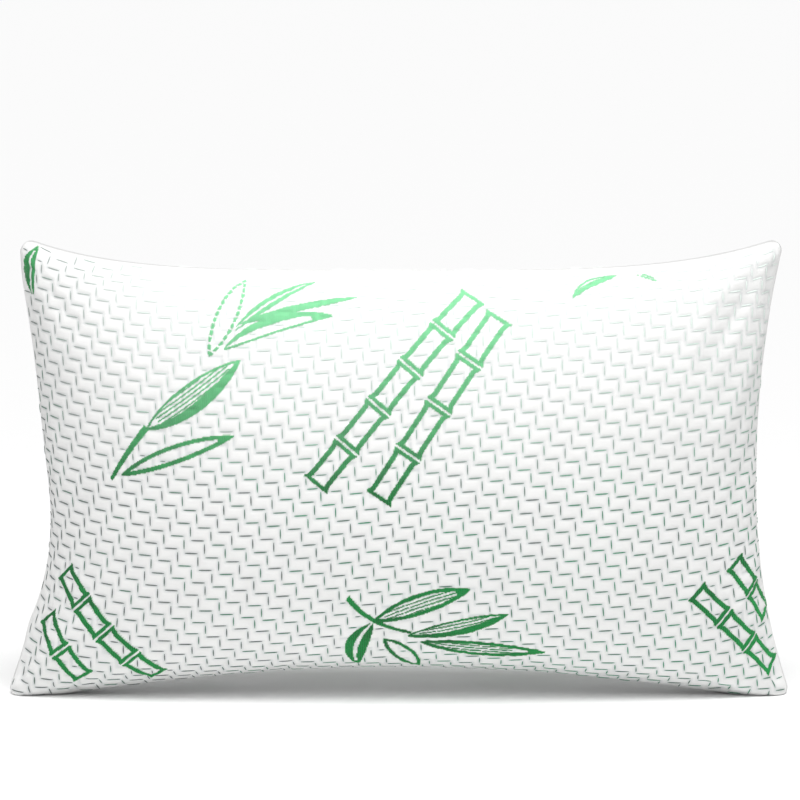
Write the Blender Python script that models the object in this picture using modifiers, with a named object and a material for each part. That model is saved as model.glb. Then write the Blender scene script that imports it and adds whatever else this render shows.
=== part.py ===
"""Bed pillow: a zipped knit cover round a sewn inner case full of shredded foam.

The pillow stands on its two lower corners, which its weight presses flat. X runs along its length and
Y through its thickness, with the front towards -Y, and Z is up. The origin is on the floor, under the
middle. The zip is in the right-hand edge, closed, with its slider at the top.
"""

import math

import bmesh
import bpy
from mathutils import Matrix, Vector

# The filled cover, outside, in metres
BASE_WIDTH = 0.745  # across the lower corners
CROWN_WIDTH = 0.724  # across the upper corners
WAIST_WIDTH = 0.680  # between the short edges, half-way up
HEIGHT = 0.440  # floor to the upper corners, before their tips are rounded
THICKNESS = 0.176
BASE_LIFT = 0.026  # middle of the bottom edge, above the floor
CROWN_DIP = 0.032  # middle of the top edge, below the upper corners
SOLE_SQUASH = 0.008  # how much of the lower corners the floor presses flat
TIP_RADIUS = 0.014  # of a corner, seen from the front
EDGE_RADIUS = 0.012  # of the rolled edge along the seam

# How full the form is: a high power keeps it thick further out, a low root rounds its edge
SPAN_POWER, SPAN_ROOT = 3.0, 0.60
RISE_POWER, RISE_ROOT = 2.2, 0.55
SIDE_POWER = 2.2  # the short edges' inward curve
BASE_POWER = 1.2  # the bottom edge's arch
CROWN_POWER = 4.0  # the top edge's dip
EDGE_POWER = 8  # how close to the right-hand edge the zip's lips and room stay

# Fabric and thread
COVER_WALL = 0.0020
LINER_WALL = 0.0008
COVER_THREAD = 0.0005  # radius of the overlock run
LINER_THREAD = 0.0004
STITCH_THREAD = 0.0003
CLEAR = 0.0003  # between pieces that touch
LAYER_CLEAR = 0.0005  # between layers of fabric and foam
SEAM_GAP = 0.0003  # between the two panels along a seam

# Zip
ZIP_LENGTH = 0.250  # between the stops
LIP_GAP = 0.010  # between the panels' lips along the zip
MOUTH_MARGIN = 0.008  # lips stay open this far past each stop
TAPE_WIDTH = 0.0113
TAPE_WALL = 0.0005
TAPE_TAIL = 0.016  # tape past each stop
TAPE_SETBACK = 0.0020  # tape's outer face, inside the cover's inner face
CHAIN_SPLIT = 0.0014  # between the two coils, and between the two tapes
COIL_WIDTH = 0.0019
COIL_HEIGHT = 0.0016
STOP_LENGTH = 0.0032

# Slider and pull tab
SLIDER_LENGTH = 0.011
SLIDER_WIDTH = 0.0080
SLIDER_PLATE = 0.0009
SLIDER_FLANGE = 0.0010
SLIDER_NECK = 0.0008
BRIDGE_LENGTH = 0.0078
BRIDGE_WIDTH = 0.0016
BRIDGE_BAR = 0.0009
PULL_LENGTH = 0.024
PULL_WIDTH = 0.0056
PULL_BAR = 0.0012  # the pull tab's thickness, and its pivot bar's
PULL_WINDOW = 0.0059
RUNNING_CLEAR = 0.0004

# Inner case and label
CLOSING_SEAM_ROWS = 1  # rows of the form each side of the middle that the closing seam spans
ZIP_ROOM = 0.0035  # the inner case stays this much further in, and straight, behind the zip
INNER_LIFT = 0.003  # the inner case stays this much further off the pressed soles
INNER_FLARE = 0.3  # how much of the corners' flare the inner case follows on the zip's side
ROOM_MARGIN = 0.006  # and for this far past the label's lower end
LABEL_WIDTH = 0.0226
LABEL_LENGTH = 0.036
LABEL_WALL = 0.0003
LABEL_LAP = 0.010  # label under the tapes' ends

EDGE_STEPS = 3  # steps round the rolled edge, a quarter circle
SPAN_STEPS = 6  # from the rolled edge to the middle, along the length
SPAN_EASE = 1.4  # above 1, the steps are shorter near the edge
MOUTH_STEPS = 6  # along the zip's mouth

HALF_SPAN = BASE_WIDTH / 2
FULL_RISE = HEIGHT + SOLE_SQUASH
HALF_RISE = FULL_RISE / 2
HALF_THICK = THICKNESS / 2
MIDDLE_Z = HALF_RISE - SOLE_SQUASH
HALF_MOUTH = ZIP_LENGTH / 2 + MOUTH_MARGIN
HALF_ROOM = ZIP_LENGTH / 2 + TAPE_TAIL - LABEL_LAP + LABEL_LENGTH + ROOM_MARGIN
MOUTH_CLOSING = HALF_ROOM - HALF_MOUTH  # length over which the lips come together

# Across the layers, from the outside in: (inset of the outline, inset of the depth)
COVER_OUTER = (0.0, 0.0)
COVER_INNER = (COVER_WALL, COVER_WALL)
COVER_SEAM = COVER_WALL + CLEAR + COVER_THREAD
LINER_PLAN = COVER_SEAM + COVER_THREAD + CLEAR
LINER_OUTER = (LINER_PLAN, COVER_WALL + LAYER_CLEAR)
LINER_INNER = (LINER_PLAN + LINER_WALL, COVER_WALL + LAYER_CLEAR + LINER_WALL)
LINER_SEAM = LINER_PLAN + LINER_WALL + CLEAR + LINER_THREAD
FOAM = (LINER_SEAM + LINER_THREAD + CLEAR, COVER_WALL + LINER_WALL + 2 * LAYER_CLEAR)

# Zip stack, outwards along X from the tapes' middle
TAPE_X = WAIST_WIDTH / 2 - COVER_WALL - TAPE_SETBACK - TAPE_WALL / 2
TAPE_FACE = TAPE_WALL / 2
COIL_BASE = TAPE_FACE + CLEAR
COIL_TOP = COIL_BASE + COIL_HEIGHT
PLATE_BASE = COIL_TOP + RUNNING_CLEAR
PLATE_TOP = PLATE_BASE + SLIDER_PLATE
PULL_REACH = PULL_BAR / math.sqrt(2)  # from the pivot to a corner of its bar
PIVOT_OUT = PLATE_TOP + CLEAR + PULL_REACH
BRIDGE_INSIDE = PIVOT_OUT + PULL_REACH + CLEAR
COIL_INNER = CHAIN_SPLIT / 2
COIL_OUTER = COIL_INNER + COIL_WIDTH
ZIP_TOP = MIDDLE_Z + ZIP_LENGTH / 2
ZIP_BOTTOM = MIDDLE_Z - ZIP_LENGTH / 2
SLIDER_Z = ZIP_TOP - SLIDER_LENGTH / 2

# Places a flat outline's own x, y and thickness along the row's axes
ACROSS_OUT = Matrix(((0, 1, 0), (-1, 0, 0), (0, 0, 1))).to_4x4()  # x along -Y, y along +X
ACROSS_UP = Matrix(((0, 0, 1), (1, 0, 0), (0, 1, 0))).to_4x4()  # x along +Y, y along +Z
UP_OUT = Matrix(((0, 1, 0), (0, 0, 1), (1, 0, 0))).to_4x4()  # x along +Z, y along +X

PARTS = "bed_pillow"
FORMS = "bed_pillow_forms"


def start_scene():
    for obj in list(bpy.data.objects):
        bpy.data.objects.remove(obj, do_unlink=True)
    for name in (PARTS, FORMS):
        bpy.context.scene.collection.children.link(bpy.data.collections.new(name))


def finish(name, rgb, roughness, metallic=0.0):
    material = bpy.data.materials.new(name)
    material.use_nodes = True
    shader = material.node_tree.nodes["Principled BSDF"]
    shader.inputs["Base Color"].default_value = (*rgb, 1.0)
    shader.inputs["Roughness"].default_value = roughness
    shader.inputs["Metallic"].default_value = metallic
    material.diffuse_color = (*rgb, 1.0)
    return material


def add_object(name, data, material, collection=PARTS):
    obj = bpy.data.objects.new(name, data)
    bpy.data.collections[collection].objects.link(obj)
    if material:
        data.materials.append(material)
    return obj


# The pillow's form. A place on it is (a, b): a runs from -1 at the left edge to 1 at the right, and b
# from -1 at the bottom edge to 1 at the top.


def edge_stations():
    """Distances in from the seam round the rolled edge."""
    angles = [0.5 * math.pi * k / EDGE_STEPS for k in range(EDGE_STEPS + 1)]
    return [EDGE_RADIUS * (1 - math.cos(angle)) for angle in angles]


def span_stations():
    """Values of a, from left to right."""
    inner = HALF_SPAN - EDGE_RADIUS
    distances = edge_stations()
    distances += [EDGE_RADIUS + inner * (k / SPAN_STEPS) ** SPAN_EASE for k in range(1, SPAN_STEPS)]
    left = [distance / HALF_SPAN - 1 for distance in distances]
    return left + [0.0] + [-a for a in reversed(left)]


def rise_stations():
    """Values of b, from bottom to top, with rows at the ends of the zip's mouth."""
    edge = [distance / HALF_RISE - 1 for distance in edge_stations()]
    closed = HALF_ROOM / HALF_RISE
    mouth = [(2 * k / MOUTH_STEPS - 1) * HALF_MOUTH / HALF_RISE for k in range(MOUTH_STEPS + 1)]
    return edge + [-closed] + mouth + [closed] + [-b for b in reversed(edge)]


SPAN = span_stations()
RISE = rise_stations()
MOUTH_FIRST = EDGE_STEPS + 2  # the row of RISE at the mouth's lower end
MOUTH_LAST = MOUTH_FIRST + MOUTH_STEPS


def round_tip(a, b):
    """(a, b) with the corners of the square rounded, and the distance in from the seam."""
    in_a, in_b = (1 - abs(a)) * HALF_SPAN, (1 - abs(b)) * HALF_RISE
    p, q = max(0.0, 1 - in_a / TIP_RADIUS), max(0.0, 1 - in_b / TIP_RADIUS)
    if not (p and q):
        return a, b, min(in_a, in_b)
    round_p, round_q = p * math.sqrt(1 - q * q / 2), q * math.sqrt(1 - p * p / 2)
    a = math.copysign(1 - (1 - round_p) * TIP_RADIUS / HALF_SPAN, a)
    b = math.copysign(1 - (1 - round_q) * TIP_RADIUS / HALF_RISE, b)
    return a, b, TIP_RADIUS * (1 - math.hypot(round_p, round_q))


def rise_share(b, start):
    """From 0 at a height of start to 1 at a tip, up or down from the middle."""
    tip = 1 - TIP_RADIUS / HALF_RISE
    return min(1.0, max(0.0, (abs(b) - start) / (tip - start)))


def place(a, b, inset, inner=False):
    """(x, z) of a place on the form, its outline drawn in by inset. The inner case clears the zip."""
    a, b, _ = round_tip(a, b)
    flare = ((CROWN_WIDTH if b > 0 else BASE_WIDTH) - WAIST_WIDTH) / 2
    out = flare * rise_share(b, 0.0) ** SIDE_POWER
    x = a * (WAIST_WIDTH / 2 + out - inset)
    if inner and a > 0:
        straight = INNER_FLARE * flare * rise_share(b, HALF_ROOM / HALF_RISE)
        x -= (ZIP_ROOM + out - straight) * a**EDGE_POWER
    base, crown = min(1.0, abs(x) / (BASE_WIDTH / 2)), min(1.0, abs(x) / (CROWN_WIDTH / 2))
    low = (BASE_LIFT + SOLE_SQUASH) * (1 - base**2) ** BASE_POWER - SOLE_SQUASH + inset
    high = HEIGHT - CROWN_DIP * (1 - crown**CROWN_POWER) - inset
    floor = inset + (INNER_LIFT if inner else 0.0)
    return x, max(floor, low + (high - low) * (b + 1) / 2)


def depth(a, b, inset, gap):
    """Distance from the seam's plane, with the lips of the zip's mouth held apart by gap."""
    a, b, inwards = round_tip(a, b)
    roll = math.sqrt(1 - (1 - min(inwards / EDGE_RADIUS, 1)) ** 2)
    span = max(0.0, 1 - abs(a) ** SPAN_POWER) ** SPAN_ROOT
    rise = max(0.0, 1 - abs(b) ** RISE_POWER) ** RISE_ROOT
    full = (EDGE_RADIUS - inset + (HALF_THICK - EDGE_RADIUS) * span * rise) * roll
    return gap + full * (1 - gap / HALF_THICK)


def lip(a, b):
    """Half the gap between the panels: open along the zip's mouth, and a seam elsewhere."""
    closing = (HALF_ROOM - abs(b) * HALF_RISE) / MOUTH_CLOSING
    opening = min(1.0, max(0.0, closing)) * max(0.0, a) ** EDGE_POWER
    return SEAM_GAP / 2 + (LIP_GAP - SEAM_GAP) / 2 * opening


def doubled_sheet(bm):
    """Two sheets of vertices that know their place on the form, joined round their rims."""
    layers = [bm.verts.layers.float.new(name) for name in "ab"]
    made = bmesh.ops.create_grid(bm, x_segments=len(SPAN) - 1, y_segments=len(RISE) - 1, size=1)
    for vertex in made["verts"]:
        vertex[layers[0]] = SPAN[round((vertex.co.x + 1) / 2 * (len(SPAN) - 1))]
        vertex[layers[1]] = RISE[round((vertex.co.y + 1) / 2 * (len(RISE) - 1))]
    extruded = bmesh.ops.extrude_face_region(bm, geom=bm.faces[:], use_keep_orig=True)
    second = [item for item in extruded["geom"] if isinstance(item, bmesh.types.BMVert)]
    return made["verts"], second


def lay(bm, vertices, side, insets, gap, inner):
    """Moves a sheet's vertices to their place on the form, towards side * Y."""
    layers = [bm.verts.layers.float[name] for name in "ab"]
    plan, deep = insets
    for vertex in vertices:
        a, b = vertex[layers[0]], vertex[layers[1]]
        x, z = place(a, b, plan, inner)
        vertex.co = (x, side * depth(a, b, deep, gap(a, b)), z)


def mesh_of(bm, name):
    bmesh.ops.recalc_face_normals(bm, faces=bm.faces)
    if bm.calc_volume(signed=True) < 0:
        bmesh.ops.reverse_faces(bm, faces=bm.faces)
    mesh = bpy.data.meshes.new(name)
    bm.to_mesh(mesh)
    bm.free()
    mesh.shade_smooth()
    mesh.set_sharp_from_angle(angle=math.radians(60))
    return mesh


def panel(name, side, walls, gap, inner, material):
    """One half of a case: two sheets of the form, a wall apart."""
    bm = bmesh.new()
    for vertices, insets in zip(doubled_sheet(bm), walls):
        lay(bm, vertices, side, insets, gap, inner)
    return add_object(name, mesh_of(bm, name), material)


def bulk(name, insets, material):
    """The whole form, closed: a front and a back sheet that share their rims."""
    bm = bmesh.new()
    for vertices, side in zip(doubled_sheet(bm), (-1, 1)):
        lay(bm, vertices, side, insets, lambda a, b: 0.0, True)
    bmesh.ops.remove_doubles(bm, verts=bm.verts, dist=1e-6)
    return add_object(name, mesh_of(bm, name), material)


def seam_gap(a, b):
    return SEAM_GAP / 2


# Threads


def trimmed(points, length):
    """The points with both ends drawn in by length."""
    points = [Vector(point) for point in points]
    points[0] += (points[1] - points[0]).normalized() * length
    points[-1] += (points[-2] - points[-1]).normalized() * length
    return points


def thread(name, points, radius, material):
    curve = bpy.data.curves.new(name, "CURVE")
    curve.dimensions = "3D"
    curve.bevel_depth = radius
    curve.bevel_resolution = 2
    curve.use_fill_caps = True
    spline = curve.splines.new("POLY")
    spline.points.add(len(points) - 1)
    for point, place_of in zip(spline.points, points):
        point.co = (*place_of, 1.0)
    return add_object(name, curve, material)


def seam_points(inset, first, last, side, inner=False):
    """Round the seam from row first to row last of one short edge, the long way about."""
    rows, columns = range(len(RISE)), range(len(SPAN))
    near = [(side, RISE[row]) for row in rows[first:]]
    top = [(-side * SPAN[column], 1.0) for column in columns[1:]]
    far = [(-side, RISE[row]) for row in reversed(rows[:-1])]
    bottom = [(side * SPAN[column], -1.0) for column in columns[1:]]
    back = [(side, RISE[row]) for row in rows[1 : last + 1]]
    route = [place(a, b, inset, inner) for a, b in near + top + far + bottom + back]
    return [(x, 0.0, z) for x, z in route]


def stitch_points(side):
    """Along a lip of the mouth, on the middle of the panel's first strip, just clear of it."""
    points = []
    for row in range(MOUTH_FIRST, MOUTH_LAST + 1):
        strip = []
        for a in (SPAN[-1], SPAN[-2]):
            x, z = place(a, RISE[row], 0.0)
            strip.append(Vector((x, side * depth(a, RISE[row], 0.0, lip(a, RISE[row])), z)))
        along = strip[1] - strip[0]
        outwards = Vector((abs(along.y), -side * along.x, 0.0)).normalized()
        points.append((strip[0] + strip[1]) / 2 + outwards * (STITCH_THREAD + CLEAR))
    return points


# Zip


def block(name, low, high, material, bevel=0.0):
    """A box between two corners."""
    bm = bmesh.new()
    low, high = Vector(low), Vector(high)
    bmesh.ops.create_cube(bm, size=1)
    bmesh.ops.scale(bm, vec=high - low, verts=bm.verts)
    obj = add_object(name, mesh_of(bm, name), material)
    obj.location = (low + high) / 2
    if bevel:
        modifier = obj.modifiers.new("Bevel", "BEVEL")
        modifier.width = bevel
        modifier.segments = 2
    return obj


def plate(name, outlines, thickness, frame, at, material, collection=PARTS):
    """A flat plate from closed outlines, the first its edge and the others its windows."""
    curve = bpy.data.curves.new(name + "_outline", "CURVE")
    curve.dimensions = "2D"
    curve.fill_mode = "BOTH"
    curve.extrude = thickness / 2
    for outline in outlines:
        spline = curve.splines.new("POLY")
        spline.use_cyclic_u = True
        spline.points.add(len(outline) - 1)
        for point, (x, y) in zip(spline.points, outline):
            point.co = (x, y, 0.0, 1.0)
    drawn = bpy.data.objects.new(name + "_outline", curve)
    bpy.data.collections[FORMS].objects.link(drawn)
    bpy.context.view_layer.update()
    graph = bpy.context.evaluated_depsgraph_get()
    mesh = bpy.data.meshes.new_from_object(drawn.evaluated_get(graph))
    bpy.data.objects.remove(drawn, do_unlink=True)
    bm = bmesh.new()
    bm.from_mesh(mesh)
    bmesh.ops.remove_doubles(bm, verts=bm.verts, dist=1e-6)
    bmesh.ops.transform(bm, matrix=frame, verts=bm.verts)
    bpy.data.meshes.remove(mesh)
    obj = add_object(name, mesh_of(bm, name), material, collection)
    obj.location = at
    return obj


def mirrored(half):
    """A closed outline from its right-hand half, listed bottom to top."""
    return half + [(-x, y) for x, y in reversed(half)]


def slider(material):
    half, neck, inner = SLIDER_WIDTH / 2, SLIDER_NECK / 2, SLIDER_WIDTH / 2 - SLIDER_FLANGE
    under = -TAPE_FACE - CLEAR
    section = [
        (half, under - SLIDER_PLATE),
        (half, under),
        (neck, under),
        (neck, PLATE_BASE),
        (inner, PLATE_BASE),
        (inner, TAPE_FACE + CLEAR),
        (half, TAPE_FACE + CLEAR),
        (half, PLATE_TOP),
    ]
    at = Vector((TAPE_X, 0.0, SLIDER_Z))
    body = plate("zip_slider", [mirrored(section)], SLIDER_LENGTH, ACROSS_OUT, at, material)
    foot, reach = BRIDGE_LENGTH / 2, BRIDGE_LENGTH / 2 - BRIDGE_BAR
    sunk = PLATE_TOP - SLIDER_PLATE / 2
    arch = [
        (reach, sunk),
        (foot, sunk),
        (foot, BRIDGE_INSIDE + BRIDGE_BAR),
        (-foot, BRIDGE_INSIDE + BRIDGE_BAR),
        (-foot, sunk),
        (-reach, sunk),
        (-reach, BRIDGE_INSIDE),
        (reach, BRIDGE_INSIDE),
    ]
    bridge = plate("slider_bridge", [arch], BRIDGE_WIDTH, UP_OUT, at, None, FORMS)
    bridge.hide_render = True
    bridge.display_type = "WIRE"
    union = body.modifiers.new("Bridge", "BOOLEAN")
    union.operation = "UNION"
    union.object = bridge


def pull_tab(material):
    half, bar = PULL_WIDTH / 2, PULL_BAR / 2
    window = half - PULL_BAR
    turns = [math.pi * k / 12 for k in range(13)]
    tip = half - PULL_LENGTH + bar
    edge = [(half, bar), (-half, bar)]
    edge += [(-half * math.cos(turn), tip - half * math.sin(turn)) for turn in turns]
    hole = [(window, -bar), (window, -bar - PULL_WINDOW), (-window, -bar - PULL_WINDOW), (-window, -bar)]
    at = (TAPE_X + PIVOT_OUT, 0.0, SLIDER_Z)
    plate("zip_pull_tab", [edge, hole], PULL_BAR, ACROSS_UP, at, material)


def zip_half(name, side, tape, nylon, thread_finish):
    """One tape with its coil, its top stop and the topstitched run that holds it."""

    def strip(piece, out, across, up, material, bevel=0.0):
        across = sorted(side * y for y in across)
        low = (TAPE_X + out[0], across[0], up[0])
        high = (TAPE_X + out[1], across[1], up[1])
        block(f"{piece}_{name}", low, high, material, bevel)

    tape_across = (CHAIN_SPLIT / 2, CHAIN_SPLIT / 2 + TAPE_WIDTH)
    coil_across = (COIL_INNER, COIL_OUTER)
    coil_out = (COIL_BASE, COIL_TOP)
    strip("zip_tape", (-TAPE_FACE, TAPE_FACE), tape_across, (ZIP_BOTTOM - TAPE_TAIL, ZIP_TOP + TAPE_TAIL), tape)
    strip("zip_coil", coil_out, coil_across, (ZIP_BOTTOM, ZIP_TOP), nylon, COIL_HEIGHT / 5)
    stop = (ZIP_TOP + CLEAR, ZIP_TOP + CLEAR + STOP_LENGTH)
    strip("zip_top_stop", coil_out, coil_across, stop, nylon, COIL_HEIGHT / 8)
    thread(f"zip_stitch_{name}", stitch_points(side), STITCH_THREAD, thread_finish)


def main():
    start_scene()
    knit = finish("knit_cover", (0.86, 0.87, 0.86), 0.9)
    liner = finish("plain_liner", (0.80, 0.80, 0.79), 0.85)
    foam = finish("shredded_foam", (0.80, 0.74, 0.55), 0.95)
    polyester = finish("polyester_thread", (0.85, 0.85, 0.85), 0.6)
    tape = finish("zip_tape", (0.82, 0.82, 0.82), 0.8)
    nylon = finish("nylon_coil", (0.84, 0.84, 0.83), 0.4)
    zinc = finish("zinc_slider", (0.70, 0.71, 0.72), 0.3, 1.0)
    satin = finish("satin_label", (0.88, 0.88, 0.86), 0.4)

    for name, side in (("front", -1), ("back", 1)):
        panel(f"cover_{name}_panel", side, (COVER_OUTER, COVER_INNER), lip, False, knit)
        panel(f"liner_{name}_panel", side, (LINER_OUTER, LINER_INNER), seam_gap, True, liner)
        zip_half(name, side, tape, nylon, polyester)
    bulk("foam_fill", FOAM, foam)

    overlock = seam_points(COVER_SEAM, MOUTH_LAST + 1, MOUTH_FIRST - 1, 1)
    thread("cover_seam_thread", overlock, COVER_THREAD, polyester)
    middle = len(RISE) // 2
    low, high = middle - CLOSING_SEAM_ROWS, middle + CLOSING_SEAM_ROWS
    seam = trimmed(seam_points(LINER_SEAM, high, low, -1, True), CLEAR / 2)
    thread("liner_seam_thread", seam, LINER_THREAD, polyester)
    rows = [place(-1, b, LINER_SEAM) for b in RISE[low : high + 1]]
    closing = trimmed([(x, 0.0, z) for x, z in rows], CLEAR / 2)
    thread("liner_closing_seam", closing, LINER_THREAD, polyester)

    stop_low = (TAPE_X + COIL_BASE, -COIL_OUTER, ZIP_BOTTOM - CLEAR - STOP_LENGTH)
    stop_high = (TAPE_X + COIL_TOP, COIL_OUTER, ZIP_BOTTOM - CLEAR)
    block("zip_bottom_stop", stop_low, stop_high, nylon, COIL_HEIGHT / 8)
    slider(zinc)
    pull_tab(zinc)
    label_face = TAPE_X - TAPE_FACE - CLEAR
    label_top = ZIP_BOTTOM - TAPE_TAIL + LABEL_LAP
    label_low = (label_face - LABEL_WALL, -LABEL_WIDTH / 2, label_top - LABEL_LENGTH)
    block("care_label", label_low, (label_face, LABEL_WIDTH / 2, label_top), satin)


main()
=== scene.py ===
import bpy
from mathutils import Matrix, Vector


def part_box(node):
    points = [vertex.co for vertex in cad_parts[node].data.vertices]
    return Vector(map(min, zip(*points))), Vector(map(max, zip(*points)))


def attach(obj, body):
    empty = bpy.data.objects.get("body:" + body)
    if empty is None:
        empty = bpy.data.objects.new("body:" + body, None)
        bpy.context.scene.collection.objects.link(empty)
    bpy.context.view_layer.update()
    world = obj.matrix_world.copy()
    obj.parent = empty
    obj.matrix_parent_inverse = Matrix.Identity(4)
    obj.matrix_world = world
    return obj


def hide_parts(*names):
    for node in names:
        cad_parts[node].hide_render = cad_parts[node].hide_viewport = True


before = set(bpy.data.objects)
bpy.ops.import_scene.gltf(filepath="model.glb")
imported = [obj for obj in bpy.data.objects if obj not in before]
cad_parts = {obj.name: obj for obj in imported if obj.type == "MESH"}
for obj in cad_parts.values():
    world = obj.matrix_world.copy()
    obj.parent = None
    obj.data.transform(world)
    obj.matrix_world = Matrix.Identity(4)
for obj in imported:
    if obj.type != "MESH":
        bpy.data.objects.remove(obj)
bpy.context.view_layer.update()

import math

import bmesh
import bpy
import numpy as np
from bpy.props import FloatProperty, FloatVectorProperty, IntProperty, PointerProperty
from bpy.types import Operator, Panel, PropertyGroup
from mathutils import Matrix, Vector

bl_info = {
    "name": "Bed pillow",
    "version": (1, 0, 0),
    "blender": (4, 5, 0),
    "location": "3D View > Sidebar > Pillow",
    "description": "A stuffed bed pillow in a zipped, leaf-patterned knit cover",
    "category": "Add Mesh",
}

MM = 0.001
SIDES = ((-1, "front"), (1, "back"))


def linear(code):
    """An sRGB hex colour as linear red, green and blue."""
    parts = [int(code[k : k + 2], 16) / 255 for k in (0, 2, 4)]
    return tuple(p / 12.92 if p <= 0.04045 else ((p + 0.055) / 1.055) ** 2.4 for p in parts)


def length(name, text, default):
    return FloatProperty(name=name, description=text, default=default, min=0.0, unit="LENGTH", precision=5)


def share(name, text, default):
    return FloatProperty(name=name, description=text, default=default)


def colour(name, text, code):
    return FloatVectorProperty(name=name, description=text, default=linear(code), size=3, subtype="COLOR")


class PillowForm(PropertyGroup):
    """Sizes of the stuffed pillow."""

    flat_width: length("Flat width", "Cover across, cut and laid flat", 0.762)
    flat_height: length("Flat height", "Cover up, cut and laid flat", 0.457)
    base_width: length("Base width", "Across the lower corners", 0.745)
    crown_width: length("Crown width", "Across the upper corners", 0.724)
    waist_width: length("Waist width", "Between the short edges, half-way up", 0.680)
    height: length("Height", "Floor to the upper corners, before they are rounded", 0.440)
    thickness: length("Thickness", "Front to back at the middle", 0.176)
    base_lift: length("Base lift", "Middle of the bottom edge above the floor", 0.026)
    crown_dip: length("Crown dip", "Middle of the top edge below the upper corners", 0.032)
    sole_squash: length("Sole squash", "How much of the lower corners the floor presses flat", 0.008)
    tip_radius: length("Tip radius", "Of a corner, seen from the front", 0.014)
    edge_radius: length("Edge radius", "Of the rolled edge along the seam", 0.012)
    seam_gap: length("Seam gap", "Between the two panels along the seam", 0.0003)
    lip_gap: length("Lip gap", "Between the panels' lips along the zip", 0.010)
    mouth: length("Mouth", "Half the length of the zip's mouth", 0.133)
    room: length("Room", "Half the length over which the lips come together", 0.173)
    slump: length("Slump", "How far the left edge sinks in, low down, and swells out below that", 0.0105)
    slump_height: length("Slump height", "Where the left edge sinks in most, above the floor", 0.150)
    pressure: share("Stuffing pressure", "How hard the filling pushes the cloth out", 3.0)
    frames: IntProperty(name="Settling time", description="Frames the cloth has to settle", default=36, min=1)


class PillowLayers(PropertyGroup):
    """Thicknesses of the layers, from the outside in."""

    cover_wall: length("Cover", "Thickness of the knit cover", 0.002)
    liner_wall: length("Liner", "Thickness of the plain inner case", 0.0008)
    liner_inset: length("Liner inset", "Liner's outline inside the cover's", 0.0036)
    layer_clear: length("Clearance", "Between the layers", 0.0005)
    foam_inset: length("Foam inset", "Foam's outline inside the liner, past its seam", 0.0014)
    zip_room: length("Zip room", "How much further in the inner case stays behind the zip", 0.0035)
    inner_lift: length("Inner lift", "How much further off the soles the inner case stays", 0.003)
    lump: length("Foam lump", "Typical size of a piece of shredded foam", 0.024)
    lump_depth: length("Lump depth", "How far a piece of foam stands in from its neighbours", 0.004)


class PillowWeave(PropertyGroup):
    """The cover's pattern of dashes and puffed blocks."""

    mesh_step: length("Mesh step", "Spacing of the cover's points", 0.00195)
    side_step: FloatVectorProperty(
        name="Side step", description="From a dash to the one beside it, on the flat cloth",
        default=(0.0203, -0.0022), size=2, unit="LENGTH", precision=5)
    up_step: FloatVectorProperty(
        name="Up step", description="From a dash to the one above it, on the flat cloth",
        default=(0.0061, 0.0129), size=2, unit="LENGTH", precision=5)
    dash: length("Dash", "Length of a dash that lies along the pillow", 0.0124)
    upright: length("Upright", "Length of a dash that stands", 0.0088)
    yarn: length("Dash yarn", "Radius of a dash's yarn", 0.00054)
    puff: length("Puff", "Height of the blocks above the grooves between them", 0.0009)
    groove: length("Groove", "How far a groove's slope reaches to each side", 0.0021)
    wale: length("Stitch width", "Across one knitted stitch", 0.00105)
    course: length("Stitch height", "Up one knitted stitch", 0.00100)
    stitch_yarn: length("Stitch yarn", "Radius of a knitted stitch's yarn", 0.00032)


class PillowZip(PropertyGroup):
    """Sizes of the zip's threads and coils."""

    coil_pitch: length("Coil pitch", "Along the zip from one coil to the next", 0.0013)
    coil_wire: length("Coil wire", "Radius of the coil's filament", 0.00032)
    stitch: length("Stitch", "Length of one topstitch", 0.0030)
    stitch_gap: length("Stitch gap", "Between two topstitches", 0.0007)
    stitch_yarn: length("Stitch thread", "Radius of the topstitch thread", 0.00030)
    stitch_inset: length("Stitch inset", "From the lip to the topstitches, along the cloth", 0.0062)
    coil_reach: length("Coil reach", "How far each coil leans in past its solid", 0.00022)
    rounding: length("Rounding", "Radius of the slider's edges", 0.00022)


class PillowColours(PropertyGroup):
    """Colours of the finishes."""

    knit: colour("Knit", "The cover's cloth", "F7F7F6")
    # Painted shade: this colour stands in for the shade that falls in the cover's grooves
    hollow: colour("Hollow", "The cover's cloth in its grooves", "DEE1E1")
    dash_grey: colour("Dash grey", "Dashes where the yarn runs grey", "616A68")
    dash_green: colour("Dash green", "Dashes where the yarn runs green", "2E8A65")
    leaf_deep: colour("Leaf deep", "Leaves, darkest yarn", "02602A")
    leaf_bright: colour("Leaf bright", "Leaves, brightest yarn", "10A04C")
    # Painted highlight: these two colours stand in for the yarn lit brighter towards the crown
    leaf_painted_highlight: colour("Leaf pale", "Leaves, highlighted yarn at the crown", "A2EFBC")
    dash_painted_highlight: colour("Dash pale", "Dashes, faded yarn at the crown", "F1FBF5")
    liner: colour("Liner", "Plain inner case", "F1EFE9")
    foam: colour("Foam", "Shredded foam", "F3E3B4")
    foam_dark: colour("Foam shade", "Shredded foam, older pieces", "D9C48B")
    thread: colour("Thread", "Sewing thread", "F7F7F5")
    tape: colour("Tape", "Zip tape", "EDEFEE")
    coil: colour("Coil", "Nylon coil", "F2F3F2")
    metal: colour("Slider", "Plated zinc slider", "C9CCCF")
    label: colour("Label", "Satin label", "F4F4F2")
    floor: colour("Floor", "Studio floor", "FCFCFC")


# The pillow's form. A place on it is (a, b): a runs from -1 at the left edge to 1 at the right, and b
# from -1 at the bottom edge to 1 at the top. side is -1 for the front and 1 for the back.

SPAN_POWER, SPAN_ROOT = 3.0, 0.60  # how the depth falls off towards the short edges
RISE_POWER, RISE_ROOT = 2.2, 0.55  # and towards the long ones
SIDE_POWER, BASE_POWER, CROWN_POWER, EDGE_POWER = 2.2, 1.2, 4.0, 8
INNER_FLARE = 0.3  # how much of the corners' flare the inner case follows on the zip's side


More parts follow.
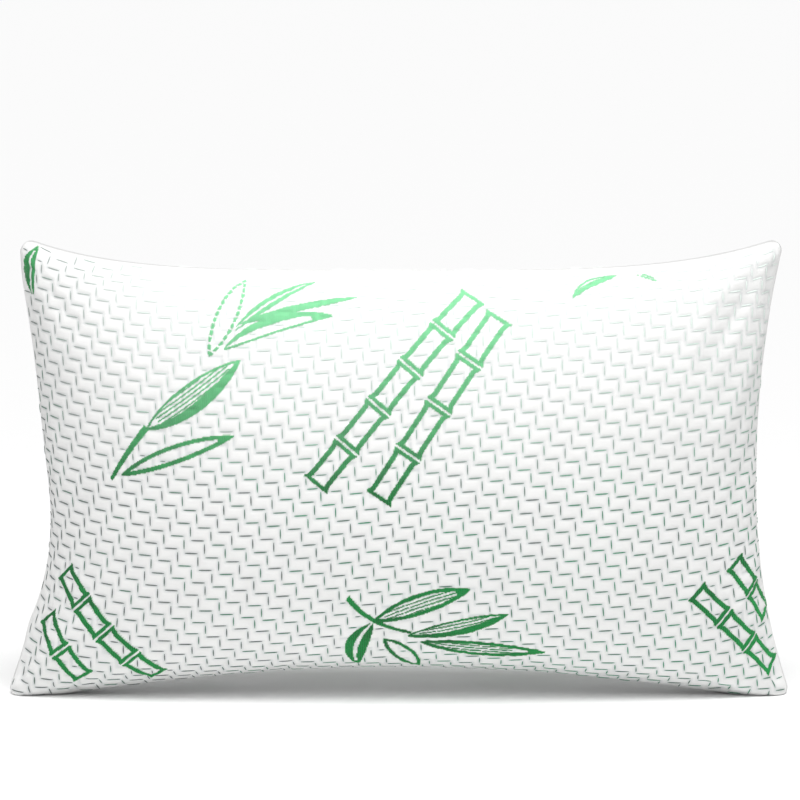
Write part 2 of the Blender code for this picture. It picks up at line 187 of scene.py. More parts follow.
def round_tip(form, a, b):
    """(a, b) with the corners of the square rounded, and the distance in from the seam."""
    half_span, half_rise = form.base_width / 2, (form.height + form.sole_squash) / 2
    in_a, in_b = (1 - abs(a)) * half_span, (1 - abs(b)) * half_rise
    p, q = (np.clip(1 - d / form.tip_radius, 0, None) for d in (in_a, in_b))
    corner = (p > 0) & (q > 0)
    round_p, round_q = p * np.sqrt(1 - q * q / 2), q * np.sqrt(1 - p * p / 2)
    new_a = np.copysign(1 - (1 - round_p) * form.tip_radius / half_span, a)
    new_b = np.copysign(1 - (1 - round_q) * form.tip_radius / half_rise, b)
    inwards = form.tip_radius * (1 - np.hypot(round_p, round_q))
    return (
        np.where(corner, new_a, a),
        np.where(corner, new_b, b),
        np.where(corner, np.clip(inwards, 0, None), np.minimum(in_a, in_b)),
    )


def rise_share(form, b, start):
    tip = 1 - form.tip_radius * 2 / (form.height + form.sole_squash)
    return np.clip((abs(b) - start) / (tip - start), 0, 1)


def lip(form, a, b):
    """Half the gap between the panels: open along the zip's mouth, and a seam elsewhere."""
    closing = (form.room - abs(b) * (form.height + form.sole_squash) / 2) / (form.room - form.mouth)
    opening = np.clip(closing, 0, 1) * np.clip(a, 0, None) ** EDGE_POWER
    return form.seam_gap / 2 + (form.lip_gap - form.seam_gap) / 2 * opening


def on_form(form, a, b, side, plan=0.0, deep=0.0, inner=None):
    """Points of the form. plan and deep draw it in across and from front to back, and inner is the layers'
    settings for the case that clears the zip."""
    a, b, inwards = round_tip(form, a, b)
    flare = (np.where(b > 0, form.crown_width, form.base_width) - form.waist_width) / 2
    out = flare * rise_share(form, b, 0.0) ** SIDE_POWER
    x = a * (form.waist_width / 2 + out - plan)
    floor = plan
    if inner is not None:
        half_rise = (form.height + form.sole_squash) / 2
        straight = INNER_FLARE * flare * rise_share(form, b, form.room / half_rise)
        x = x - (inner.zip_room + out - straight) * np.clip(a, 0, None) ** EDGE_POWER
        floor += inner.inner_lift
    base = np.minimum(1, abs(x) / (form.base_width / 2))
    crown = np.minimum(1, abs(x) / (form.crown_width / 2))
    low = (form.base_lift + form.sole_squash) * (1 - base**2) ** BASE_POWER - form.sole_squash + plan
    high = form.height - form.crown_dip * (1 - crown**CROWN_POWER) - plan
    z = np.maximum(floor, low + (high - low) * (b + 1) / 2)
    roll = np.sqrt(1 - (1 - np.minimum(inwards / form.edge_radius, 1)) ** 2)
    span = np.clip(1 - abs(a) ** SPAN_POWER, 0, None) ** SPAN_ROOT
    rise = np.clip(1 - abs(b) ** RISE_POWER, 0, None) ** RISE_ROOT
    full = (form.edge_radius - deep + (form.thickness / 2 - form.edge_radius) * span * rise) * roll
    return np.stack([x, side * full, z], axis=-1)


def laid_out(form, across, up):
    """(a, b) for places on the flat cloth, each -1 to 1: even round the seam, and by the cloth's own length in
    the middle."""
    line = np.linspace(-1, 1, 801)
    even = []
    for points in (on_form(form, line, 0 * line, -1), on_form(form, 0 * line, line, -1)):
        run = np.concatenate([[0], np.cumsum(np.linalg.norm(np.diff(points, axis=0), axis=1))])
        even.append(2 * run / run[-1] - 1)
    seam = 2.6  # how quickly the even spacing of the seam gives way to the cloth's own
    by_a, by_b = np.interp(across, even[0], line), np.interp(up, even[1], line)
    near_b, near_a = abs(up) ** seam, abs(across) ** seam
    return by_a + (across - by_a) * near_b, by_b + (up - by_b) * near_a


def flat_grid(columns, rows):
    """The flat cloth's places, -1 to 1, as two arrays of rows by columns."""
    return np.meshgrid(np.linspace(-1, 1, columns + 1), np.linspace(-1, 1, rows + 1))


# The left edge's hollows: each one's place up in slump heights, its reach up and down, and its share of the slump.
HOLLOWS = ((1.0, 0.085, 1.0), (0.45, 0.016, -0.2), (3.0, 0.035, 0.7))
SLUMP_POWER = 5  # how quickly the slump dies out from the edge inwards


def slump(form, a, points):
    """How far the left edge sinks in, low down, where the filling has slipped away from it."""
    depth = 0
    for place, reach, part in HOLLOWS:
        depth += part * np.exp(-(((points[..., 2] - place * form.slump_height) / reach) ** 2))
    inwards = form.slump * depth * np.clip(-a, 0, None) ** SLUMP_POWER
    return np.stack([inwards, 0 * inwards, 0 * inwards], -1)


# How the cover's cloth behaves while it is stuffed.
CLOTH = {
    "quality": 7, "mass": 0.25, "tension_stiffness": 30, "compression_stiffness": 30, "shear_stiffness": 8,
    "bending_stiffness": 0.9, "air_damping": 2, "use_pressure": True, "vertex_group_mass": "Seam",
}
SLACK_COLUMNS, SLACK_ROWS = 78, 48  # cells of the coarse grid that settles
SLACK_HALF = 0.0004  # half the gap between the two sheets before they are stuffed


def settled(form):
    """How far the cloth moves from the form when it is stuffed: one array for the front and one for the back, on
    a coarse grid of the flat cloth."""
    across, up = flat_grid(SLACK_COLUMNS, SLACK_ROWS)
    a, b = laid_out(form, across, up)
    start = [on_form(form, a, b, side) for side, _ in SIDES]
    mesh, front, back = closed_pair("slack_case", *start)
    flat = np.stack([across * form.flat_width / 2, 0 * across, up * form.flat_height / 2], axis=-1)
    thin = np.zeros_like(flat)
    thin[1:-1, 1:-1, 1] = SLACK_HALF
    case = link("slack_case", mesh)
    case.shape_key_add(name="Stuffed")
    key = case.shape_key_add(name="Flat")
    key.data.foreach_set("co", paired(flat - thin, flat + thin).ravel())
    pins = case.vertex_groups.new(name="Seam")
    rim = np.concatenate([front[0], front[-1], front[1:-1, 0], front[1:-1, -1]])
    pins.add([int(k) for k in rim], 1.0, "REPLACE")
    cloth = case.modifiers.new("Cloth", "CLOTH")
    for name, value in CLOTH.items():
        setattr(cloth.settings, name, value)
    cloth.settings.rest_shape_key = key
    cloth.settings.uniform_pressure_force = form.pressure
    cloth.settings.effector_weights.gravity = 0
    cloth.collision_settings.use_collision = False
    cloth.point_cache.frame_start, cloth.point_cache.frame_end = 1, form.frames
    scene = bpy.context.scene
    for number in range(1, form.frames + 1):
        scene.frame_set(number)
    graph = bpy.context.evaluated_depsgraph_get()
    result = case.evaluated_get(graph).to_mesh()
    moved = np.empty(len(mesh.vertices) * 3)
    result.vertices.foreach_get("co", moved)
    moved = moved.reshape(-1, 3)
    case.evaluated_get(graph).to_mesh_clear()
    bpy.data.objects.remove(case, do_unlink=True)
    scene.frame_set(1)
    moved[:, 1] *= form.thickness / 2 / abs(moved[:, 1]).max()
    return [moved[sheet] - begun + slump(form, a, begun) for sheet, begun in zip((front, back), start)]


def smoothed(coarse, columns, rows):
    """A coarse grid of points drawn out to a fine one, smooth through every coarse point."""

    def weights(count, fine):
        place = np.linspace(0, count - 1, fine + 1)
        first = np.minimum(place.astype(int), count - 2)
        t = place - first
        table = np.zeros((fine + 1, count))
        for shift, value in (
            (-1, (-t + 2 * t**2 - t**3) / 2),
            (0, (2 - 5 * t**2 + 3 * t**3) / 2),
            (1, (t + 4 * t**2 - 3 * t**3) / 2),
            (2, (t**3 - t**2) / 2),
        ):
            np.add.at(table, (np.arange(fine + 1), np.clip(first + shift, 0, count - 1)), value)
        return table

    across, up = weights(coarse.shape[1], columns), weights(coarse.shape[0], rows)
    return np.einsum("jr,rck,ic->jik", up, coarse, across, optimize=True)


# Each fold: its two ends on the flat cloth in mm from the middle, its width and its height.
FOLDS = (
    ((-372, -214), (-318, -150), 9, 2.6),
    ((-366, -176), (-338, -96), 8, -2.2),
    ((-340, -218), (-296, -190), 8, -1.8),
    ((-374, -60), (-342, 6), 9, 2.0),
    ((-372, 40), (-346, 96), 10, -1.6),
    ((-362, 204), (-312, 150), 9, -2.4),
    ((-330, 214), (-286, 184), 9, 1.6),
    ((362, 208), (300, 120), 10, -3.0),
    ((338, 214), (292, 158), 9, 2.2),
    ((372, 150), (322, 60), 11, 2.6),
    ((374, 60), (338, -10), 10, -2.4),
    ((374, -70), (336, -120), 9, 1.8),
    ((370, -206), (316, -150), 9, -2.2),
    ((338, -218), (290, -188), 8, 1.8),
    ((-120, -222), (-96, -196), 10, -1.2),
    ((150, -222), (118, -192), 11, -1.3),
)


def folds(u, v, turned):
    """How far the cloth's soft folds stand out, in metres."""
    raised = 0 * u
    sign = -1 if turned else 1
    past, taper = 0.3, 1.6  # how far past its ends a fold runs, as a share of its length, and how it dies out
    for start, end, width, height in FOLDS:
        start, end = np.array(start) * MM * sign, np.array(end) * MM * sign
        along = end - start
        t = ((u - start[0]) * along[0] + (v - start[1]) * along[1]) / (along @ along)
        t = np.clip(t, -past, 1 + past)
        off = np.hypot(u - start[0] - t * along[0], v - start[1] - t * along[1]) / (width * MM)
        fade = np.clip(1 - abs(2 * t - 1) / taper, 0, 1)
        raised += height * MM * np.exp(-(off**2)) * np.sqrt(fade)
    return raised


# The knit's pattern, on the flat cloth in metres from its middle.

BOW_FROM, BOW_REACH, BOW_SLOPE = 0.04, 0.30, 0.22  # left of the middle, how far on, and the slope reached there


def bow(u):
    """How far the knit's courses rise towards the left edge, where the cloth was pulled as it was sewn."""
    return BOW_SLOPE * np.clip(-BOW_FROM - u, 0, None) ** 2 / (2 * BOW_REACH)


DASH_SLOPE = 0.085  # rise of a lying dash over its length
UPRIGHT_OFF, UPRIGHT_LEAN = (0.0005, -0.0034), 0.0003  # an upright's top from a lying dash's end, and its lean


def dashes(weave):
    """The two dashes of a cell, from the cell's corner, as (start, end)."""
    end = (weave.dash, weave.dash * DASH_SLOPE)
    top = (end[0] + UPRIGHT_OFF[0], end[1] + UPRIGHT_OFF[1])
    return ((0.0, 0.0), end), (top, (top[0] + UPRIGHT_LEAN, top[1] - weave.upright))


def groove_depth(weave, u, v):
    """From 0 on a block to 1 at the bottom of a groove."""
    v = v - bow(u)
    side, up = np.array(weave.side_step), np.array(weave.up_step)
    cross = side[0] * up[1] - side[1] * up[0]
    column, row = np.floor((u * up[1] - v * up[0]) / cross), np.floor((side[0] * v - side[1] * u) / cross)
    nearest = np.full(u.shape, np.inf)
    past = 0.04  # how far past its dash's ends a groove runs, as a share of its length
    for near_column, near_row in np.ndindex(5, 5):
        corner_u = (column + near_column - 2) * side[0] + (row + near_row - 2) * up[0]
        corner_v = (column + near_column - 2) * side[1] + (row + near_row - 2) * up[1]
        for start, end in dashes(weave):
            along = np.subtract(end, start)
            du, dv = u - corner_u - start[0], v - corner_v - start[1]
            t = np.clip((du * along[0] + dv * along[1]) / (along @ along), -past, 1 + past)
            nearest = np.minimum(nearest, np.hypot(du - t * along[0], dv - t * along[1]))
    return np.exp(-((nearest / weave.groove) ** 2))


# Leaves. Each: foot, tip, half-width, bend, and how it's drawn.
#   "full": a thin upper outline, a thick lower band and hatching between
#   "open": two bands that meet at the tip, with white between them
#   "veined": the same, with hatching in the white
#   "rimmed": a thick upper band and a thin lower outline
#   "solid": filled, "split": filled with a light vein, "loop": a dotted outline
# A stem is a line from foot to tip, half-width across.
SPRIGS = {
    "tall_sprig": [
        ((-280, 6), (-242, 56), 3.0, 0.02, "stem"),
        ((-242, 54), (-150, 118), 13.5, -0.02, "full"),
        ((-270, 10), (-156, 48), 8.6, 0.02, "open"),
        ((-180, 122), (-148, 206), 10.5, -0.02, "loop"),
        ((-166, 128), (-62, 160), 8.5, 0.08, "rimmed"),
        ((-156, 146), (-80, 201), 5.2, 0.04, "split"),
        ((-150, 153), (-38, 180), 3.6, 0.02, "solid"),
    ],
    "low_sprig": [
        ((12, -150), (-48, -110), 2.6, 0.10, "stem"),
        ((-24, -137), (68, -101), 11.0, 0.02, "veined"),
        ((8, -154), (104, -126), 8.5, -0.03, "full"),
        ((20, -162), (138, -171), 9.5, -0.03, "veined"),
        ((-24, -138), (-38, -198), 10.5, -0.14, "split"),
        ((-14, -158), (20, -206), 10.0, 0.05, "open"),
    ],
    "crown_sprig": [
        ((166, 181), (212, 213), 5.0, 0.10, "full"),
        ((232, 214), (250, 203), 2.4, 0.10, "split"),
    ],
    "ear_sprig": [
        ((-366, 176), (-362, 226), 8.0, 0.10, "split"),
    ],
}

# Jointed canes, each a row of outlined lengths: foot, tip, half-width and lengths between joints.
CANES = {
    "middle_canes": [((-80, 0), (72, 182), 14.5, 5), ((-20, -14), (96, 160), 14.5, 4)],
    "left_canes": [((-338, -88), (-226, -200), 13.0, 4), ((-352, -134), (-300, -198), 13.0, 2)],
    "right_canes": [((286, -102), (370, -190), 13.0, 3), ((330, -78), (374, -138), 13.0, 2)],
}


FRONT_ONLY = ("ear_sprig",)  # where it would be cut by the seam on the back


def along_stroke(u, v, foot, tip):
    """How far along a stroke and how far off it each place is, and the stroke's length, in metres."""
    foot, tip = np.array(foot) * MM, np.array(tip) * MM
    axis = tip - foot
    reach = math.hypot(*axis)
    axis = axis / reach
    du, dv = u - foot[0], v - foot[1]
    return du * axis[0] + dv * axis[1], dv * axis[0] - du * axis[1], reach


def leaf_mask(u, v, foot, tip, width, bend, kind, weave):
    """Where a leaf's yarn shows, and how far up the leaf each place is."""
    t, off, reach = along_stroke(u, v, foot, tip)
    t = t / reach
    off = off - bend * reach * 4 * t * (1 - t)
    inside = (t >= 0) & (t <= 1)
    t = np.clip(t, 0, 1)
    half = width * MM
    line = 1.1 * weave.wale  # the width of a drawn line
    if kind == "stem":
        return inside & (abs(off) < half * (0.55 + 0.45 * t)), t
    half = half * np.clip(3.15 * t**0.80 * (1 - t) ** 0.85, 0, 1)  # widest a little above the middle
    body = inside & (abs(off) < half)
    hatching = (np.floor(off / (0.75 * line)) % 4 == 0) & (t > 0.12) & (t < 0.88)
    filled = t > {"split": 0.9, "rimmed": 0.82}.get(kind, 0.86)
    rim = (off > half - 2.9 * line) | (off < -half + 3.1 * line) | filled
    if kind == "solid":
        shown = body
    elif kind == "split":
        shown = (abs(off) > 0.16 * half + 0.5 * line) | filled
    elif kind == "open":
        shown = rim
    elif kind == "veined":
        shown = rim | hatching
    elif kind == "rimmed":
        shown = (off > half * (0.1 + 0.5 * abs(t - 0.5))) | (off < -half + 1.4 * line) | filled
    elif kind == "loop":
        dotted = np.floor(t * reach / (2.2 * MM)) % 3 < 2
        shown = ((off > half - 2.2 * line) | (off < -half + 2.2 * line)) & dotted
    else:
        lower = off < -half + (0.35 + 0.35 * t) * half + 1.6 * line
        shown = (off > half - 1.5 * line) | lower | hatching
    return body & shown, t


def cane_mask(u, v, foot, tip, width, joints, weave):
    """Where a cane's yarn shows, and how far up the cane each place is."""
    line, gap, swell = 4.4 * MM, 1.3 * MM, 4.5 * MM  # its outline, half the gap at a joint, and a joint's swelling
    along, off, reach = along_stroke(u, v, foot, tip)
    off = abs(off)
    step = reach / joints
    t = (along / step) % 1
    near_joint = np.minimum(t, 1 - t) * step
    half = width * MM * (0.80 + 0.20 * np.exp(-((near_joint / swell) ** 2)))
    inside = (along >= 0) & (along <= reach) & (off < half)
    edge = (off > half - line) | (near_joint < line * 0.72 + gap)
    return inside & edge & (near_joint > gap), np.clip(along / reach, 0, 1)


def motif_mask(u, v, weave, turned, names=None):
    """Where the leaves' and canes' yarn shows, and how far along its leaf or cane each place is."""
    if turned:
        u, v = -u, -v
    shown, along = np.zeros(u.shape, bool), np.zeros(u.shape)
    for group, draw in ((SPRIGS, leaf_mask), (CANES, cane_mask)):
        for name, strokes in group.items():
            if (names is not None and name not in names) or (turned and name in FRONT_ONLY):
                continue
            for stroke in strokes:
                mask, t = draw(u, v, *stroke, weave)
                along = np.where(mask, t, along)
                shown |= mask
    return shown, along


class Cloth:
    """One face of a case: the fine grid of its outer side, its normals, and where each point is on the flat cloth."""

    def __init__(self, form, side, step, plan=0.0, deep=0.0, inner=None, weave=None, gap=None):
        self.side = side
        self.columns = 4 * round(form.flat_width / step / 4)
        self.rows = 4 * round(form.flat_height / step / 4)
        across, up = flat_grid(self.columns, self.rows)
        self.half = form.flat_width / 2, form.flat_height / 2
        self.u, self.v = across * self.half[0], up * self.half[1]
        a, b = laid_out(form, across, up)
        points = on_form(form, a, b, side, plan, deep, inner)
        points += smoothed(MOVED[side], self.columns, self.rows)
        self.inwards = np.minimum(self.half[0] - abs(self.u), self.half[1] - abs(self.v))
        raised = folds(self.u, self.v, side > 0) * np.sqrt(self.inside(30))
        points += self.normals_of(points) * raised[..., None]
        if weave is not None:
            edge = self.inside(7)
            self.groove = groove_depth(weave, self.u, self.v) * edge
            self.motif = motif_mask(self.u, self.v, weave, side > 0)[0].astype(float)
            level = 0.55  # how far down a groove the form itself lies
            relief = weave.puff * (level - self.groove) * edge
            points += self.normals_of(points) * relief[..., None]
        gap = lip(form, a, b) if gap is None else gap
        depth = np.maximum(side * points[..., 1], 0) * (1 - gap / (form.thickness / 2))
        points[..., 1] = side * (gap + depth)
        floor = plan + (inner.inner_lift if inner is not None else 0.0)
        points[..., 2] = np.maximum(points[..., 2], floor)
        self.points, self.normals = points, self.normals_of(points)

    def inside(self, reach):
        """From 0 at the seam to 1 at a distance from it, in mm."""
        return np.clip(self.inwards / (reach * MM), 0, 1)

    def normals_of(self, points):
        normals = np.cross(np.gradient(points, axis=1), np.gradient(points, axis=0)) * -self.side
        return normals / np.maximum(np.linalg.norm(normals, axis=-1, keepdims=True), 1e-12)

    def at(self, u, v, lift=0.0):
        """Points of the cloth above places on the flat cloth, with their normals."""
        column = np.clip((u / self.half[0] + 1) / 2 * self.columns, 0, self.columns - 1e-6)
        row = np.clip((v / self.half[1] + 1) / 2 * self.rows, 0, self.rows - 1e-6)
        i, j = column.astype(int), row.astype(int)
        s, t = (column - i)[..., None], (row - j)[..., None]

        def mixed(grid):
            low = grid[j, i] * (1 - s) + grid[j, i + 1] * s
            return low * (1 - t) + (grid[j + 1, i] * (1 - s) + grid[j + 1, i + 1] * s) * t

        normals = mixed(self.normals)
        normals /= np.linalg.norm(normals, axis=-1, keepdims=True)
        return mixed(self.points) + normals * np.asarray(lift)[..., None], normals


# Meshes


def link(name, mesh, *materials):
    obj = bpy.data.objects.new(name, mesh)
    bpy.context.scene.collection.objects.link(obj)
    for material in materials:
        mesh.materials.append(material)
    return obj


def noted(mesh, name, values):
    """Gives each of a mesh's points a number or a quaternion."""
    kind = "FLOAT" if values.ndim == 1 else "QUATERNION"
    mesh.attributes.new(name, kind, "POINT").data.foreach_set("value", values.astype(np.float32).ravel())


def cloud(name, points, **values):
    """A mesh of points alone, with what is noted of each."""
    mesh = bpy.data.meshes.new(name)
    mesh.vertices.add(len(points))
    mesh.vertices.foreach_set("co", points.astype(np.float32).ravel())
    for label, each in values.items():
        noted(mesh, label, each)
    return mesh


def meshed(name, bm):
    """The mesh of a bmesh, which is freed."""
    mesh = bpy.data.meshes.new(name)
    bm.to_mesh(mesh)
    bm.free()
    return mesh


def welded(node):
    """A CAD node's faces, joined along their edges."""
    bm = bmesh.new()
    bm.from_mesh(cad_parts[node].data)
    bmesh.ops.remove_doubles(bm, verts=bm.verts, dist=1e-6)
    return bm


def kept(name, obj):
    """The plain mesh that an object's modifiers make of it. The object goes."""
    graph = bpy.context.evaluated_depsgraph_get()
    graph.update()
    made = bpy.data.meshes.new_from_object(obj.evaluated_get(graph))
    bpy.data.objects.remove(obj, do_unlink=True)
    made.name = name
    made.shade_smooth()
    return made


def shell(name, outer, inner, step, side, uv, values=None):
    """A closed mesh from an outer grid, and an inner one of every step-th point, joined round the rim."""
    fine = np.arange(outer[..., 0].size).reshape(outer.shape[:2])
    few = inner[::step, ::step]
    coarse = fine.size + np.arange(few[..., 0].size).reshape(few.shape[:2])

    def loop(index):
        return np.concatenate([index[0, :-1], index[:-1, -1], index[-1, :0:-1], index[:0:-1, 0]])

    faces = np.concatenate([quads(fine, side > 0), quads(coarse, side < 0)])
    long_rim, short_rim = loop(fine), loop(coarse)
    rim = []
    for k in range(len(short_rim)):
        run = [long_rim[(k * step + n) % len(long_rim)] for n in range(step + 1)]
        face = run[::-1] + [short_rim[k], short_rim[(k + 1) % len(short_rim)]]
        rim.append(face[::-1] if side > 0 else face)
    mesh = cloud(name, np.concatenate([outer.reshape(-1, 3), few.reshape(-1, 3)]))
    corners = np.concatenate([faces.ravel(), np.array(rim).ravel()])
    starts = np.concatenate([4 * np.arange(len(faces)), 4 * len(faces) + (step + 3) * np.arange(len(rim))])
    mesh.loops.add(len(corners))
    mesh.loops.foreach_set("vertex_index", corners)
    mesh.polygons.add(len(starts))
    mesh.polygons.foreach_set("loop_start", starts)
    flat = np.concatenate([uv.reshape(-1, 2), uv[::step, ::step].reshape(-1, 2)])
    mesh.uv_layers.new(name="Flat").data.foreach_set("uv", flat[corners].ravel())
    for label, grid in (values or {}).items():
        noted(mesh, label, np.concatenate([grid.ravel(), grid[::step, ::step].ravel()]))
    mesh.update(calc_edges=True)
    mesh.validate()
    mesh.shade_smooth()
    return mesh


def walled(name, cloth, wall, seam_gap, values=None):
    """A closed mesh of a cloth with its thickness, kept off the other panel along the seam."""
    inner = cloth.points - cloth.normals * wall
    nearest = np.minimum(cloth.side * cloth.points[..., 1], seam_gap / 2)
    inner[..., 1] = cloth.side * np.maximum(cloth.side * inner[..., 1], nearest)
    flat = np.stack([cloth.u, cloth.v], axis=-1)
    return shell(name, cloth.points, inner, 4, cloth.side, flat, values)


def quads(index, turned=False):
    """The corners of every cell of a grid of points' numbers, the other way round if turned."""
    corners = [index[:-1, :-1], index[:-1, 1:], index[1:, 1:], index[1:, :-1]]
    return np.stack(corners[::-1] if turned else corners, -1).reshape(-1, 4)


def paired(front, back):
    """The points of a front and a back grid that share their rims."""
    return np.concatenate([front.reshape(-1, 3), back[1:-1, 1:-1].reshape(-1, 3)])


def closed_pair(name, front, back):
    """A closed mesh from a front and a back grid that share their rims, with the numbers of each one's points."""
    index = np.arange(front[..., 0].size).reshape(front.shape[:2])
    behind = index.copy()
    inside = behind[1:-1, 1:-1]
    inside[:] = index.size + np.arange(inside.size).reshape(inside.shape)
    mesh = bpy.data.meshes.new(name)
    faces = np.concatenate([quads(index), quads(behind, True)])
    mesh.from_pydata(paired(front, back).tolist(), [], faces.tolist())
    mesh.shade_smooth()
    return mesh, index, behind


def lumps(u, v, layers, seed):
    """How far each place of the foam lies below its highest shreds."""
    pick = np.random.default_rng(seed)
    columns, rows = 40, 26
    sink = 0.9  # how quickly a shred falls away from its middle
    centre = pick.uniform(0.15, 0.85, (rows, columns, 2))
    drop = pick.uniform(0, 0.5, (rows, columns))
    i, j = u / layers.lump + columns / 2, v / layers.lump + rows / 2
    nearest, low = np.full(u.shape, np.inf), np.zeros(u.shape)
    for di, dj in np.ndindex(3, 3):
        ci = np.clip(np.floor(i).astype(int) + di - 1, 0, columns - 1)
        cj = np.clip(np.floor(j).astype(int) + dj - 1, 0, rows - 1)
        off = np.hypot(i - ci - centre[cj, ci, 0], j - cj - centre[cj, ci, 1])
        low = np.where(off < nearest, drop[cj, ci], low)
        nearest = np.minimum(nearest, off)
    return layers.lump_depth * np.clip(low + sink * nearest**2, 0, 1)


SHARP = math.radians(50)  # an edge that turns by more than this stays crisp


def swept(name, section, stations):
    """A closed mesh of an (x, y) outline, listed anticlockwise, carried up through heights."""
    bm = bmesh.new()
    rings = [[bm.verts.new((x, y, z)) for x, y in section] for z in stations]
    for low, high in zip(rings, rings[1:]):
        for k in range(len(section)):
            n = (k + 1) % len(section)
            bm.faces.new((low[k], low[n], high[n], high[k]))
    bm.faces.new(rings[0][::-1])
    bm.faces.new(rings[-1])
    mesh = meshed(name, bm)
    mesh.shade_smooth()
    mesh.set_sharp_from_angle(angle=SHARP)
    return mesh


def rounded(node, name, radius, finish):
    """A copy of a CAD node with its edges rounded."""
    bm = welded(node)
    bmesh.ops.dissolve_limit(bm, angle_limit=math.radians(1), verts=bm.verts, edges=bm.edges)
    obj = link(name + "_sharp", meshed(name, bm), finish)
    bevel = obj.modifiers.new("Rounding", "BEVEL")
    bevel.width, bevel.segments, bevel.limit_method = radius, 3, "ANGLE"
    bevel.angle_limit = math.radians(35)
    made = kept(name, obj)
    made.set_sharp_from_angle(angle=SHARP)
    return link(name, made)


def fill(tree, node, key, value):
    """Gives a node's input a value, or another node's socket."""
    if isinstance(value, bpy.types.NodeSocket):
        tree.links.new(value, node.inputs[key])
    else:
        node.inputs[key].default_value = value


def add(tree, kind, inputs=None, **settings):
    """A new node with its settings and inputs."""
    node = tree.nodes.new(kind)
    for key, value in settings.items():
        setattr(node, key, value)
    for key, value in (inputs or {}).items():
        fill(tree, node, key, value)
    return node


# Geometry Nodes


def sockets(tree, kinds):
    """Gives a tree its geometry in and out, and its named inputs."""
    tree.interface.new_socket("Geometry", in_out="OUTPUT", socket_type="NodeSocketGeometry")
    for name, kind in (("Geometry", "Geometry"), *kinds):
        tree.interface.new_socket(name, in_out="INPUT", socket_type="NodeSocket" + kind)
    return add(tree, "NodeGroupInput").outputs


def ended(tree, geometry, material):
    real = add(tree, "GeometryNodeRealizeInstances", {"Geometry": geometry})
    dressed = add(tree, "GeometryNodeSetMaterial", {"Geometry": real.outputs[0], "Material": material})
    add(tree, "NodeGroupOutput", {0: dressed.outputs[0]})


def tubed(tree, run, ring, **inputs):
    """A closed tube of a ring along a run."""
    ends = {"Curve": run.outputs[0], "Profile Curve": ring.outputs[0], "Fill Caps": True, **inputs}
    return add(tree, "GeometryNodeCurveToMesh", ends).outputs[0]


def thread_tree():
    """A round thread along every run of edges, as wide at each point as its taper says."""
    tree = bpy.data.node_groups.new("Thread along a path", "GeometryNodeTree")
    given = sockets(tree, [("Thread radius", "Float"), ("Sides", "Int"), ("Finish", "Material")])
    run = add(tree, "GeometryNodeMeshToCurve", {"Mesh": given["Geometry"]})
    ring = add(tree, "GeometryNodeCurvePrimitiveCircle",
               {"Resolution": given["Sides"], "Radius": given["Thread radius"]})
    taper = add(tree, "GeometryNodeInputNamedAttribute", {"Name": "taper"}, data_type="FLOAT")
    ended(tree, tubed(tree, run, ring, Scale=taper.outputs[0]), given["Finish"])
    return tree


# A leg of a stitch: its top, the pull on it and its foot, as shares of the stitch's width, height and yarn.
LEG = ((0.30, 0.62, -0.25), (0.27, 0.0, 0.9), (0.08, -0.62, -0.25))


def stitch_tree():
    """A knitted stitch, two legs that meet at the foot, at every point, turned as the point says."""
    tree = bpy.data.node_groups.new("Knitted stitches", "GeometryNodeTree")
    given = sockets(tree, [("Stitch width", "Float"), ("Stitch height", "Float"),
                           ("Yarn radius", "Float"), ("Finish", "Material")])

    def times(name, factor):
        return add(tree, "ShaderNodeMath", {0: given[name], 1: factor}, operation="MULTIPLY").outputs[0]

    ring = add(tree, "GeometryNodeCurvePrimitiveCircle", {"Resolution": 3, "Radius": given["Yarn radius"]})
    both = add(tree, "GeometryNodeJoinGeometry")
    for hand in (-1, 1):
        top, pull, foot = (add(tree, "ShaderNodeCombineXYZ", {
            "X": times("Stitch width", hand * across),
            "Y": times("Stitch height", up),
            "Z": times("Yarn radius", out)}).outputs[0] for across, up, out in LEG)
        leg = add(tree, "GeometryNodeCurvePrimitiveBezierSegment", {
            "Resolution": 2, "Start": top, "Start Handle": pull, "End Handle": pull, "End": foot})
        tree.links.new(tubed(tree, leg, ring), both.inputs[0])
    turn = add(tree, "GeometryNodeInputNamedAttribute", {"Name": "turn"}, data_type="QUATERNION")
    placed = add(tree, "GeometryNodeInstanceOnPoints", {
        "Points": given["Geometry"], "Instance": both.outputs[0], "Rotation": turn.outputs[0]})
    ended(tree, placed.outputs[0], given["Finish"])
    return tree


def grown(name, mesh, tree, finish, **values):
    """A piece with the plain mesh that a tree makes from a mesh of points or edges."""
    source = link(name + "_path", mesh)
    modifier = source.modifiers.new("Grow", "NODES")
    modifier.node_group = tree
    values["Finish"] = FINISHES[finish]
    for item in tree.interface.items_tree:
        value = values.get(item.name.replace(" ", "_"))
        if item.in_out == "INPUT" and value is not None:
            modifier[item.identifier] = value
    return link(name, kept(name, source))


def runs_mesh(name, runs, tapers, tints=None):
    """A mesh of edges from lists of points, with each point's taper and each run's tint."""
    lengths = np.array([len(run) for run in runs])
    first = np.concatenate([[0], np.cumsum(lengths)[:-1]])
    edges = np.concatenate([f + np.stack([np.arange(n - 1), np.arange(1, n)], -1) for f, n in zip(first, lengths)])
    tint = np.repeat(np.zeros(len(runs)) if tints is None else tints, lengths)
    mesh = cloud(name, np.concatenate(runs), taper=np.concatenate(tapers), tint=tint)
    mesh.edges.add(len(edges))
    mesh.edges.foreach_set("vertices", edges.ravel())
    return mesh


def turns(across, normal):
    """Quaternions that take X along across and Z along the normal."""
    y = np.cross(normal, across)
    y /= np.linalg.norm(y, axis=-1, keepdims=True)
    axes = np.stack([np.cross(y, normal), y, normal], -1)
    return np.array([Matrix(three).to_quaternion() for three in axes])


# Materials. Each starts from what the real finish is.


